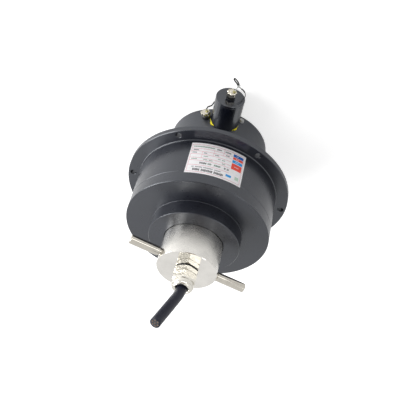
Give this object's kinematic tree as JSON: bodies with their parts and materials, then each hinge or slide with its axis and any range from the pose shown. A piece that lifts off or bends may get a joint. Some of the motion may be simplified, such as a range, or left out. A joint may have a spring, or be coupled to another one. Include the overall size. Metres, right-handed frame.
{
  "type": "slip ring",
  "caption": "Flange-mounted electrical slip ring: black anodised housing with side outlet tower, turning steel shaft with torque arms, cable gland and lead.",
  "frame": {"origin": "centre of the rear face that the slip ring stands on", "axes": "+Z along the shaft towards its free end, -Y towards the outlet tower"},
  "size_m": [0.188, 0.2087, 0.2726],
  "materials": {
    "anodised_housing": "fine-turned, black anodised, satin",
    "anodised_rear": "fine-turned, black anodised, satin",
    "black_rubber": "smooth moulded",
    "cable_jacket": "finely textured jacket",
    "fastener_steel": "plain stainless",
    "bearing_steel": "ground and polished",
    "cage_brass": "turned",
    "polished_stainless": "fine-turned and polished",
    "moulded_resin": "moulded",
    "carbon": "pressed carbon",
    "ring_bronze": "turned and plated",
    "yellow_seal": "moulded silicone",
    "black_connector": "moulded",
    "nickel_plate": "nickel plated, bright",
    "cap_brass": "turned",
    "lanyard_wire": "stranded wire",
    "label_film": "printed film, satin"
  },
  "bodies": {
    "stator": {"rear_housing": "anodised_rear", "rear_cover": "anodised_rear", "rear_cover_screws": "fastener_steel", "rear_cover_seal": "black_rubber", "main_housing": "anodised_housing", "housing_screws": "fastener_steel", "housing_seal": "black_rubber", "front_cover": "anodised_housing", "front_cover_seal": "black_rubber", "shaft_seal": "black_rubber", "front_bearing_outer": "bearing_steel", "rear_bearing_outer": "bearing_steel", "bearing_circlip": "fastener_steel", "power_brush_holders": "moulded_resin", "holder_screws": "fastener_steel", "power_brushes": "carbon", "brush_springs": "fastener_steel", "signal_brush_blocks": "moulded_resin", "signal_brush_wires": "ring_bronze", "outlet_tower": "anodised_rear", "tower_cap": "anodised_rear", "tower_seal": "yellow_seal", "connector_gaskets": "black_rubber", "connector_bodies": "black_connector", "connector_nuts": "nickel_plate", "dust_caps": "nickel_plate", "cap_studs": "cap_brass", "cap_lanyards": "lanyard_wire", "lanyard_crimps": "lanyard_wire", "lanyard_screws": "fastener_steel", "earth_screw": "fastener_steel", "label": "label_film"},
    "rotor": {"shaft": "polished_stainless", "front_bearing_inner": "bearing_steel", "front_bearing_balls": "bearing_steel", "front_bearing_cage": "cage_brass", "rear_bearing_inner": "bearing_steel", "rear_bearing_balls": "bearing_steel", "rear_bearing_cage": "cage_brass", "shaft_circlip": "fastener_steel", "power_rings": "ring_bronze", "power_insulators": "moulded_resin", "power_locknut": "fastener_steel", "signal_rings": "ring_bronze", "signal_insulators": "moulded_resin", "signal_locknut": "fastener_steel", "torque_arm_a": "polished_stainless", "torque_arm_b": "polished_stainless", "gland_gasket": "black_rubber", "gland_body": "nickel_plate", "gland_insert": "black_rubber", "gland_nut": "nickel_plate", "cable": "cable_jacket"}
  },
  "joints": [
    {"name": "rotor_spin", "type": "hinge", "parent": "stator", "child": "rotor", "pos_m": [0, 0, 0.1], "axis": [0, 0, 1], "continuous": true}
  ]
}
